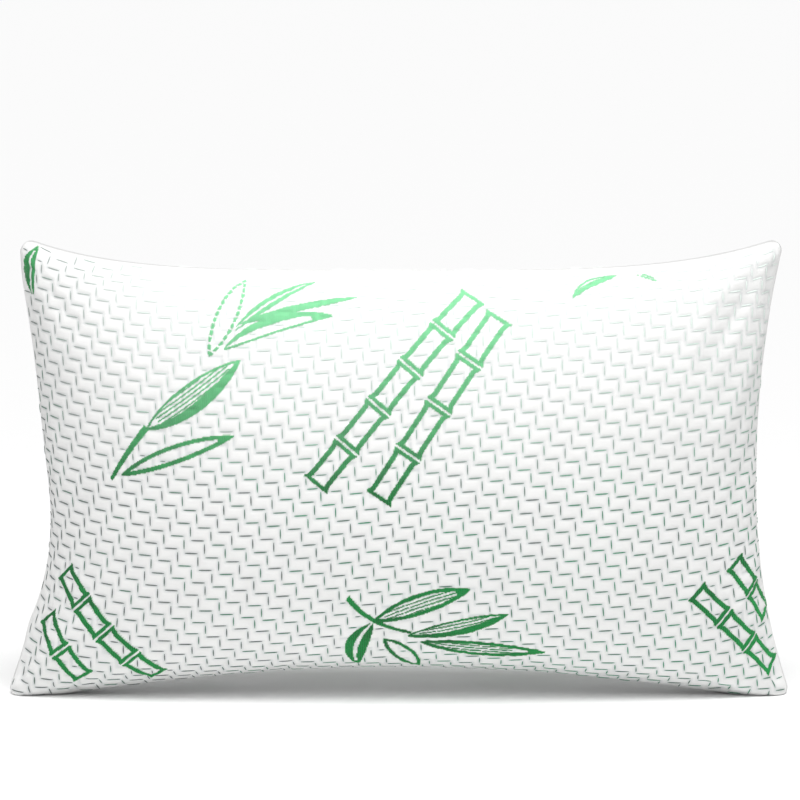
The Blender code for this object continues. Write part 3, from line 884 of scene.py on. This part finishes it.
class Look:
    """A material as it is made, and the place of each point on its piece."""

    def __init__(self, name, flat=False):
        self.material = bpy.data.materials.new(name)
        self.material.use_nodes = True
        self.tree = self.material.node_tree
        self.shader = self.tree.nodes["Principled BSDF"]
        if flat:
            self.place = self.add("UVMap", uv_map="Flat")[0]
        else:
            self.place = self.add("TexCoord")["Object"]

    def add(self, kind, inputs=None, **settings):
        return add(self.tree, "ShaderNode" + kind, inputs, **settings).outputs

    def maths(self, operation, *values):
        return self.add("Math", dict(enumerate(values)), operation=operation)[0]

    def axes(self):
        return self.add("SeparateXYZ", {0: self.place})

    def noise(self, scale, detail):
        return self.add("TexNoise", {"Vector": self.place, "Scale": scale, "Detail": detail})[0]

    def cells(self, scale):
        return self.add("TexVoronoi", {"Vector": self.place, "Scale": scale})

    def noted(self, name):
        return self.add("Attribute", attribute_name=name)["Fac"]

    def ramp(self, value, low, high, least=0.0, most=1.0):
        return self.add("MapRange", {0: value, 1: low, 2: high, 3: least, 4: most})[0]

    def mixed(self, factor, first, second):
        """A colour between two, each an RGB triple or a socket."""
        first, second = ((*each, 1.0) if isinstance(each, tuple) else each for each in (first, second))
        return self.add("Mix", {0: factor, 6: first, 7: second}, data_type="RGBA")[2]

    def done(self, colour, height=None, distance=0.0, strength=1.0, **values):
        """The finished material, of its colour, its relief and the shader's other inputs."""
        values["Base_Color"] = colour
        if height is not None:
            relief = {"Strength": strength, "Distance": distance, "Height": height}
            values["Normal"] = self.add("Bump", relief)["Normal"]
        for name, value in values.items():
            fill(self.tree, self.shader, name.replace("_", " "), value)
        return self.material


def shades(colour, darker):
    """A colour and a darker one."""
    return tuple(colour), tuple(darker * part for part in colour)


def knit_finish(colours, weave):
    """Polyester and viscose double knit: soft, matt, with fine upright ribs of stitches and a faint sheen across
    the fibres."""
    look = Look("white_double_knit", flat=True)
    across, up, _ = look.axes()
    ribs = look.maths("SINE", look.maths("MULTIPLY", across, math.tau / weave.wale))
    course = look.maths("MULTIPLY", up, math.tau / weave.course)
    loops = look.maths("SINE", look.maths("MULTIPLY_ADD", ribs, 0.9, course))
    height = look.maths("MULTIPLY_ADD", loops, 0.35, ribs)
    rough = look.maths("MULTIPLY_ADD", look.noise(2600.0, 2.0), 0.8, height)
    worn = look.mixed(look.ramp(look.noise(38.0, 3.0), 0.35, 0.7), *shades(colours.knit, 0.955))
    # Painted shade: the deeper the groove, the more the cloth is painted in the hollow colour
    deep = look.maths("POWER", look.noted("groove"), 1.6)
    shaded = look.mixed(deep, worn, tuple(colours.hollow))
    tinted = look.mixed(look.maths("MULTIPLY", look.noted("motif"), 0.62), shaded, tuple(colours.leaf_bright))
    return look.done(tinted, rough, 0.00016, 0.8, Roughness=0.88, Sheen_Weight=0.25, Sheen_Roughness=0.45, IOR=1.47,
                     Specular_IOR_Level=0.25)


# Painted highlight: between these heights the yarn is painted paler, where the crown sees most light; the left ear's
# end is left out
CROWN, EAR = (0.20, 0.40), (-0.37, -0.22)  # the heights over which the yarn pales, and the ear's end that stays deep


def yarn_finish(name, first, second, low, high, highlight=None, fade=0.0, scale=55.0):
    """Dyed polyester yarn: many fine filaments laid together, so it's matt with a soft gleam, and its dye takes
    unevenly."""
    look = Look(name)
    both = look.maths("ADD", look.noted("tint"), look.noise(scale, 2.0))
    dyed = look.mixed(look.ramp(both, low, high), tuple(first), tuple(second))
    fibres = look.noise(2100.0, 1.0)
    faint = look.mixed(0.08, dyed, look.mixed(look.ramp(fibres, 0.3, 0.9), dyed, (0.9, 0.93, 0.91)))
    # Painted highlight: the yarn is painted paler towards the crown, for the light that falls there
    if fade:  # the dye has paled towards the crown, where the pillow sees most light, though not on the left ear
        x, _, z = look.axes()
        highlight_share = look.maths("MULTIPLY", look.ramp(z, *CROWN, most=fade), look.ramp(x, *EAR))
        faint = look.mixed(highlight_share, faint, tuple(highlight))
    return look.done(faint, fibres, 0.0001, 0.7, Roughness=0.72, Sheen_Weight=0.08, Sheen_Roughness=0.4,
                     Specular_IOR_Level=0.25)


def weave_finish(name, colour, darker, warp, roughness, sheen, scale):
    """Plain or twill woven polyester: threads over and under at an even spacing, so it's flat, dry and slightly
    streaked."""
    look = Look(name)
    x, y, z = (look.maths("SINE", look.maths("MULTIPLY", axis, math.tau / warp)) for axis in look.axes())
    cloth = look.maths("ADD", look.maths("MULTIPLY", x, z), y)
    toned = look.mixed(look.ramp(look.noise(scale, 4.0), 0.3, 0.75), *shades(colour, darker))
    return look.done(toned, cloth, warp * 0.25, 0.6, Roughness=roughness, Sheen_Weight=sheen, Specular_IOR_Level=0.3)


def foam_finish(colours, lump):
    """Shredded polyurethane foam: open cells under a millimetre across, dull, each piece its own slight cream."""
    look = Look("cream_shredded_foam")
    tone = look.add("SeparateXYZ", {0: look.cells(1 / lump)["Color"]})[0]
    toned = look.mixed(tone, tuple(colours.foam), tuple(colours.foam_dark))
    return look.done(toned, look.cells(1300.0)["Distance"], 0.0004, 0.8, Roughness=0.95, Specular_IOR_Level=0.15)


def metal_finish(colours):
    """Zinc alloy, die-cast, tumbled and nickel-plated: bright with softly rounded edges and fine tumbling marks."""
    look = Look("plated_zinc")
    marks = look.noise(2200.0, 3.0)
    toned = look.mixed(marks, *shades(colours.metal, 0.85))
    return look.done(toned, marks, 0.00004, 0.5, Roughness=look.ramp(marks, 0.3, 0.7, 0.18, 0.36), Metallic=1.0)


def nylon_finish(colours):
    """Nylon monofilament, extruded and heat-set: smooth, slightly see-through, with a waxy gleam."""
    look = Look("white_nylon_filament")
    drawn = look.noise(900.0, 2.0)
    toned = look.mixed(look.ramp(drawn, 0.3, 0.7), *shades(colours.coil, 0.93))
    return look.done(toned, drawn, 0.00003, 0.4, Roughness=0.36, IOR=1.53)


def floor_finish(colours):
    """Matt painted studio floor, rolled on: even, with a barely seen eggshell."""
    look = Look("matt_studio_floor")
    toned = look.mixed(look.ramp(look.noise(240.0, 2.0), 0.2, 0.8), *shades(colours.floor, 0.99))
    return look.done(toned, Roughness=0.9, Specular_IOR_Level=0.1)


FINISHES = {}  # made once by main, and shared by the pieces


def make_finishes(scene):
    colours = scene.pillow_colours
    FINISHES.update(
        knit=knit_finish(colours, scene.pillow_weave),
        dash=yarn_finish("dash_yarn", colours.dash_grey, colours.dash_green, 0.60, 1.10, colours.dash_painted_highlight, 0.93, 9.0),
        leaf=yarn_finish("leaf_yarn", colours.leaf_deep, colours.leaf_bright, 0.45, 1.35, colours.leaf_painted_highlight, 0.85),
        thread=yarn_finish("sewing_thread", *shades(colours.thread, 0.9), 0.2, 0.9),
        liner=weave_finish("plain_weave_liner", colours.liner, 0.93, 0.0007, 0.9, 0.1, 60.0),
        tape=weave_finish("zip_tape_twill", colours.tape, 0.92, 0.0009, 0.75, 0.15, 300.0),
        label=weave_finish("satin_label", colours.label, 0.95, 0.0004, 0.38, 0.35, 500.0),
        foam=foam_finish(colours, scene.pillow_layers.lump),
        metal=metal_finish(colours),
        coil=nylon_finish(colours),
    )


CLOTHS = {}  # the cover's two faces, kept for the pieces that lie on them
MOVED = {}  # and how far each settled from the form


def followed(node, form, plan, inner):
    """A copy of a CAD seam's mesh, moved with the rim of the case that it joins."""
    mesh = meshed(node + "_run", welded(node))
    across, up = flat_grid(780, 480)
    rim = (abs(across) > 0.999) | (abs(up) > 0.999)
    a, b = laid_out(form, across, up)
    edge = on_form(form, a, b, -1, plan, 0.0, inner)[rim]
    points = np.empty(len(mesh.vertices) * 3)
    mesh.vertices.foreach_get("co", points)
    points = points.reshape(-1, 3)
    nearest = [np.argmin(((edge[:, ::2] - point[::2]) ** 2).sum(-1)) for point in points]
    points += slump(form, a[rim][nearest], points)
    mesh.vertices.foreach_set("co", points.ravel())
    return mesh


def placed(obj, body, slot, *nodes):
    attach(obj, body)
    if nodes:
        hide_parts(*nodes)
    return obj


class PILLOW_OT_cover(Operator):
    """Sew, stuff and settle the knit cover's two panels"""

    bl_idname = "pillow.cover"
    bl_label = "Knit cover"

    def execute(self, context):
        scene = context.scene
        form, weave = scene.pillow_form, scene.pillow_weave
        MOVED.update(zip((-1, 1), settled(form)))
        for side, name in SIDES:
            cloth = CLOTHS[side] = Cloth(form, side, weave.mesh_step, weave=weave)
            mesh = walled("cover_" + name, cloth, scene.pillow_layers.cover_wall, form.seam_gap,
                          {"groove": cloth.groove, "motif": cloth.motif})
            panel = link("cover_" + name, mesh, FINISHES["knit"])
            placed(panel, "pillow", "knit_cover", f"cover_{name}_panel")
        return {"FINISHED"}


class PILLOW_OT_stuffing(Operator):
    """Make the plain inner case and the shredded foam in it"""

    bl_idname = "pillow.stuffing"
    bl_label = "Inner case and foam"

    def execute(self, context):
        form, layers = context.scene.pillow_form, context.scene.pillow_layers
        plan, deep = layers.liner_inset, layers.cover_wall + layers.layer_clear
        liner_step, foam_step = 6 * MM, 5 * MM
        for side, name in SIDES:
            cloth = Cloth(form, side, liner_step, plan, deep, layers, gap=form.seam_gap / 2)
            mesh = walled("liner_" + name, cloth, layers.liner_wall, form.seam_gap)
            panel = link("liner_" + name, mesh, FINISHES["liner"])
            placed(panel, "pillow", "plain_liner", f"liner_{name}_panel")
        plan += layers.liner_wall + layers.foam_inset
        deep += layers.liner_wall + layers.layer_clear
        halves = []
        for side, _ in SIDES:
            half = Cloth(form, side, foam_step, plan, deep, layers, gap=0.0)
            sunk = lumps(half.u, half.v, layers, 7 + side) * half.inside(20)
            halves.append(half.points - half.normals * sunk[..., None])
        foam = link("foam_fill_shreds", closed_pair("foam_fill_shreds", *halves)[0], FINISHES["foam"])
        placed(foam, "pillow", "shredded_foam", "foam_fill")
        return {"FINISHED"}


class PILLOW_OT_dashes(Operator):
    """Knit the dashes of yarn into the cover's grooves"""

    bl_idname = "pillow.dashes"
    bl_label = "Dashes"

    def execute(self, context):
        form, weave = context.scene.pillow_form, context.scene.pillow_weave
        tree = thread_tree()
        hem, clear, lift = 2 * MM, 1.6 * MM, 0.12 * MM  # how far a dash stays from the seam, a motif and the cloth
        counts, narrow = (6, 4), 0.45  # points along a lying dash and an upright, and how narrow their tips are
        reach = form.flat_width / 2 - hem, form.flat_height / 2 - hem
        column, row = np.meshgrid(np.arange(-28, 29), np.arange(-22, 23))
        corner = column[..., None] * np.array(weave.side_step) + row[..., None] * np.array(weave.up_step)
        corner = corner.reshape(-1, 2)
        greener = 0.2 * np.tanh((corner[:, 0] + 0.17) / 0.06)  # right of a soft line 0.17 m left of the middle
        for side, name in SIDES:
            cloth, pick = CLOTHS[side], np.random.default_rng(41 + side)
            runs, tapers, tints = [], [], []
            tone = pick.uniform(0, 0.45, len(corner)) + greener
            for (start, end), count in zip(dashes(weave), counts):
                t = np.linspace(0, 1, count)
                u = corner[:, :1] + start[0] + t * (end[0] - start[0])
                v = corner[:, 1:] + start[1] + t * (end[1] - start[1]) + bow(u)
                keep = (abs(u) < reach[0]) & (abs(v) < reach[1])
                for du, dv in ((0, 0), (clear, 0), (-clear, 0), (0, clear), (0, -clear)):
                    keep &= ~motif_mask(u + du, v + dv, weave, side > 0)[0]
                for k in np.flatnonzero(keep.sum(axis=1) > 2):
                    first, last = np.flatnonzero(keep[k])[[0, -1]]
                    part = slice(first, last + 1)
                    if not keep[k, part].all():
                        continue
                    runs.append(cloth.at(u[k, part], v[k, part], lift)[0])
                    tapers.append(np.r_[narrow, np.ones(last - first - 1), narrow])
                    tints.append(tone[k])
            path = runs_mesh(f"{name}_dashes", runs, tapers, np.array(tints))
            made = grown(f"{name}_dashes", path, tree, "dash", Thread_radius=weave.yarn, Sides=6)
            placed(made, "pillow", "knit_cover")
        return {"FINISHED"}


class PILLOW_OT_leaves(Operator):
    """Knit the green leaves and jointed canes, stitch by stitch"""

    bl_idname = "pillow.leaves"
    bl_label = "Leaves and canes"

    def execute(self, context):
        form, weave = context.scene.pillow_form, context.scene.pillow_weave
        tree = stitch_tree()
        columns, rows = int(form.flat_width / weave.wale), int(form.flat_height / weave.course)
        across, up = np.meshgrid(np.arange(columns), np.arange(rows))
        u = (across - columns / 2 + 0.5) * weave.wale
        v = (up - rows / 2 + 0.5) * weave.course
        inside = (abs(u) < form.flat_width / 2 - weave.wale) & (abs(v) < form.flat_height / 2 - weave.course)
        for side, name in SIDES:
            cloth = CLOTHS[side]
            for group in (*SPRIGS, *CANES):
                mask, along = motif_mask(u, v, weave, side > 0, [group])
                mask &= inside
                if not mask.any():
                    continue
                points, normals = cloth.at(u[mask], v[mask], weave.stitch_yarn * 0.35)
                beside = cloth.at(u[mask] + 0.5 * MM, v[mask])[0] - cloth.at(u[mask], v[mask])[0]
                tint = 0.62 * along[mask] + 0.5 * (across[mask] % 2)
                mesh = cloud(group, points, turn=turns(beside, normals), tint=tint)
                made = grown(f"{name}_{group}", mesh, tree, "leaf", Stitch_width=weave.wale,
                             Stitch_height=weave.course, Yarn_radius=weave.stitch_yarn)
                placed(made, "pillow", "knit_cover")
        return {"FINISHED"}


class PILLOW_OT_threads(Operator):
    """Run the topstitching beside the zip, and the seams' threads round the cases"""

    bl_idname = "pillow.threads"
    bl_label = "Threads"

    def execute(self, context):
        scene = context.scene
        form, zipper, layers = scene.pillow_form, scene.pillow_zip, scene.pillow_layers
        tree = thread_tree()
        pace = zipper.stitch + zipper.stitch_gap
        lift = np.array([-0.3, 0.22, 0.3, 0.3, 0.22, -0.3]) * MM  # of one stitch, from end to end
        taper = np.array([0.6, 0.9, 1, 1, 0.9, 0.6])
        starts = -form.mouth + pace * np.arange(int(2 * form.mouth / pace))
        u = np.full(len(lift), form.flat_width / 2 - zipper.stitch_inset)
        for side, name in SIDES:
            runs = [CLOTHS[side].at(u, v + np.linspace(0, zipper.stitch, len(lift)), lift)[0] for v in starts]
            path = runs_mesh(f"zip_topstitch_{name}", runs, [taper] * len(runs))
            made = grown(f"zip_topstitch_{name}", path, tree, "thread", Thread_radius=zipper.stitch_yarn, Sides=7)
            placed(made, "pillow", "polyester_thread", f"zip_stitch_{name}")
        for node, plan, inner in (("cover_seam_thread", 0.0, None),
                                  ("liner_seam_thread", layers.liner_inset, layers),
                                  ("liner_closing_seam", layers.liner_inset, layers)):
            run = link(node + "_run", followed(node, form, plan, inner), FINISHES["thread"])
            placed(run, "pillow", "polyester_thread", node)
        return {"FINISHED"}


class PILLOW_OT_zip(Operator):
    """Make the zip: woven tapes, nylon coils, stops, slider and pull tab"""

    bl_idname = "pillow.zip"
    bl_label = "Zip"

    def cast(self, zipper, node, body, slot, finish):
        placed(rounded(node, node + "_cast", zipper.rounding, FINISHES[finish]), body, slot, node)

    def execute(self, context):
        zipper = context.scene.pillow_zip
        tree = thread_tree()
        ribs, hem, hollow = 7, 3, 0.26  # ribs across a tape, points of its plain hems, and a groove's share of it
        for side, name in SIDES:
            low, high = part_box(f"zip_tape_{name}")
            near, far = sorted((abs(low.y), abs(high.y)))
            middle, half = (low.x + high.x) / 2, (high.x - low.x) / 2
            y = np.linspace(near, far, 4 * ribs + 1)
            thick = half * (1 - hollow + hollow * np.cos(np.linspace(0, ribs * math.tau, len(y))) ** 2)
            thick[:hem] = thick[-hem:] = half
            outline = [(middle + t, side * each) for each, t in zip(y, thick)]
            outline += [(middle - t, side * each) for each, t in zip(y[::-1], thick[::-1])]
            mesh = swept(f"zip_tape_{name}_twill", outline[::side], np.linspace(low.z, high.z, 60))
            tape = link(f"zip_tape_{name}_twill", mesh, FINISHES["tape"])
            placed(tape, "pillow", "zip_tape", f"zip_tape_{name}")
            low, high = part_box(f"zip_coil_{name}")
            near, far = sorted((abs(low.y), abs(high.y)))
            near -= zipper.coil_reach
            wire = zipper.coil_wire
            count = int((high.z - low.z - 2 * wire) / zipper.coil_pitch)
            angle = np.linspace(0, count * math.tau, count * 10 + 1) + (math.pi if side > 0 else 0)
            run = np.linspace(low.z + wire, high.z - wire, len(angle))
            x = (low.x + high.x) / 2 + ((high.x - low.x) / 2 - wire) * np.sin(angle)
            y = side * ((near + far) / 2 + ((far - near) / 2 - wire) * np.cos(angle))
            path = runs_mesh(f"zip_coil_{name}_turns", [np.stack([x, y, run], -1)], [np.ones(len(angle))])
            coil = grown(f"zip_coil_{name}_turns", path, tree, "coil", Thread_radius=wire, Sides=6)
            placed(coil, "pillow", "nylon_coil", f"zip_coil_{name}")
            self.cast(zipper, f"zip_top_stop_{name}", "pillow", "nylon_coil", "coil")
        self.cast(zipper, "zip_bottom_stop", "pillow", "nylon_coil", "coil")
        self.cast(zipper, "zip_slider", "slider", "zinc_slider", "metal")
        self.cast(zipper, "zip_pull_tab", "pull_tab", "zinc_slider", "metal")
        return {"FINISHED"}


class PILLOW_OT_label(Operator):
    """Make the satin care label inside the cover"""

    bl_idname = "pillow.label"
    bl_label = "Label"

    def execute(self, context):
        low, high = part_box("care_label")
        across, up = np.meshgrid(np.linspace(0, 1, 25), np.linspace(0, 1, 41))
        y, z = low.y + across * (high.y - low.y), low.z + up * (high.z - low.z)
        middle = (low.x + high.x) / 2
        hem = np.where((up < 0.06) | (up > 0.94), 1.0, 0.7) * (high.x - low.x) / 2
        face = np.stack([middle + hem, y, z], -1)
        reverse = np.stack([middle - hem, y, z], -1)
        mesh = shell("care_label_satin", face, reverse, 4, -1, np.stack([y, z], -1))
        label = link("care_label_satin", mesh, FINISHES["label"])
        placed(label, "pillow", "satin_label", "care_label")
        return {"FINISHED"}


class PILLOW_OT_stage(Operator):
    """Set out the floor, the light and the camera"""

    bl_idname = "pillow.stage"
    bl_label = "Stage"

    def execute(self, context):
        scene = context.scene
        reach, below = 12.0, 0.0004  # the floor's, from the middle, and how far it lies under the soles
        corners = [(x * reach, y * reach, 0) for x, y in ((-1, -1), (1, -1), (1, 1), (-1, 1))]
        mesh = bpy.data.meshes.new("floor")
        mesh.from_pydata(corners, [], [(0, 1, 2, 3)])
        floor = link("floor", mesh, floor_finish(scene.pillow_colours))
        floor.location.z = -below
        world = bpy.data.worlds.new("white_studio")
        world.use_nodes = True
        scene.world = world
        tree = world.node_tree
        lit, seen = 0.355, 0.965  # how bright the walls are to the pillow, and to the camera
        ray = add(tree, "ShaderNodeLightPath").outputs["Is Camera Ray"]
        glow = add(tree, "ShaderNodeMapRange", {"Value": ray, "To Min": lit, "To Max": seen}).outputs[0]
        fill(tree, tree.nodes["Background"], 0, (1, 1, 1, 1))
        fill(tree, tree.nodes["Background"], 1, glow)
        lit_place = Vector((0, 0, 0.2))
        for name, kind, place, power, spread, size in (
            ("soft_key", "SUN", (0.10, -0.50, 2.0), 2.15, "angle", math.radians(34)),
            ("soft_front", "AREA", (0.0, -0.5, 1.0), 4.3, "size", 0.9),
        ):
            light = bpy.data.lights.new(name, kind)
            light.energy = power
            setattr(light, spread, size)
            lamp = link(name, light)
            lamp.location = place
            lamp.rotation_euler = (lit_place - Vector(place)).to_track_quat("-Z", "Y").to_euler()
        away, elevation, aim = 5.0, math.radians(9.0), Vector((0.0014, 0.0, 0.2835))
        camera = link("camera", bpy.data.cameras.new("camera"))
        camera.data.sensor_width, camera.data.lens = 36.0, 237.0
        camera.location = aim + away * Vector((0, -math.cos(elevation), math.sin(elevation)))
        camera.rotation_euler = (math.pi / 2 - elevation, 0, 0)
        camera.data.clip_end = 60
        scene.camera = camera
        scene.view_settings.view_transform = "Standard"
        return {"FINISHED"}


class PILLOW_PT_sidebar(Panel):
    """Lists the pillow's sizes, colours and pieces"""

    bl_label = "Bed pillow"
    bl_idname = "PILLOW_PT_sidebar"
    bl_space_type = "VIEW_3D"
    bl_region_type = "UI"
    bl_category = "Pillow"

    def draw(self, context):
        for group in SETTINGS:
            box = self.layout.box()
            settings = getattr(context.scene, group)
            box.label(text=type(settings).__name__)
            for name in type(settings).__annotations__:
                box.prop(settings, name)
        for step in STEPS:
            self.layout.operator(step.bl_idname)


SETTINGS = {
    "pillow_form": PillowForm,
    "pillow_layers": PillowLayers,
    "pillow_weave": PillowWeave,
    "pillow_zip": PillowZip,
    "pillow_colours": PillowColours,
}
STEPS = (
    PILLOW_OT_cover,
    PILLOW_OT_stuffing,
    PILLOW_OT_dashes,
    PILLOW_OT_leaves,
    PILLOW_OT_threads,
    PILLOW_OT_zip,
    PILLOW_OT_label,
    PILLOW_OT_stage,
)


def register():
    for kind in (*SETTINGS.values(), *STEPS, PILLOW_PT_sidebar):
        bpy.utils.register_class(kind)
    for name, kind in SETTINGS.items():
        setattr(bpy.types.Scene, name, PointerProperty(type=kind))


def unregister():
    for name in SETTINGS:
        delattr(bpy.types.Scene, name)
    for kind in reversed((*SETTINGS.values(), *STEPS, PILLOW_PT_sidebar)):
        bpy.utils.unregister_class(kind)


def main():
    register()
    make_finishes(bpy.context.scene)
    for step in STEPS:
        group, name = step.bl_idname.split(".")
        getattr(getattr(bpy.ops, group), name)()


if __name__ == "__main__":
    main()
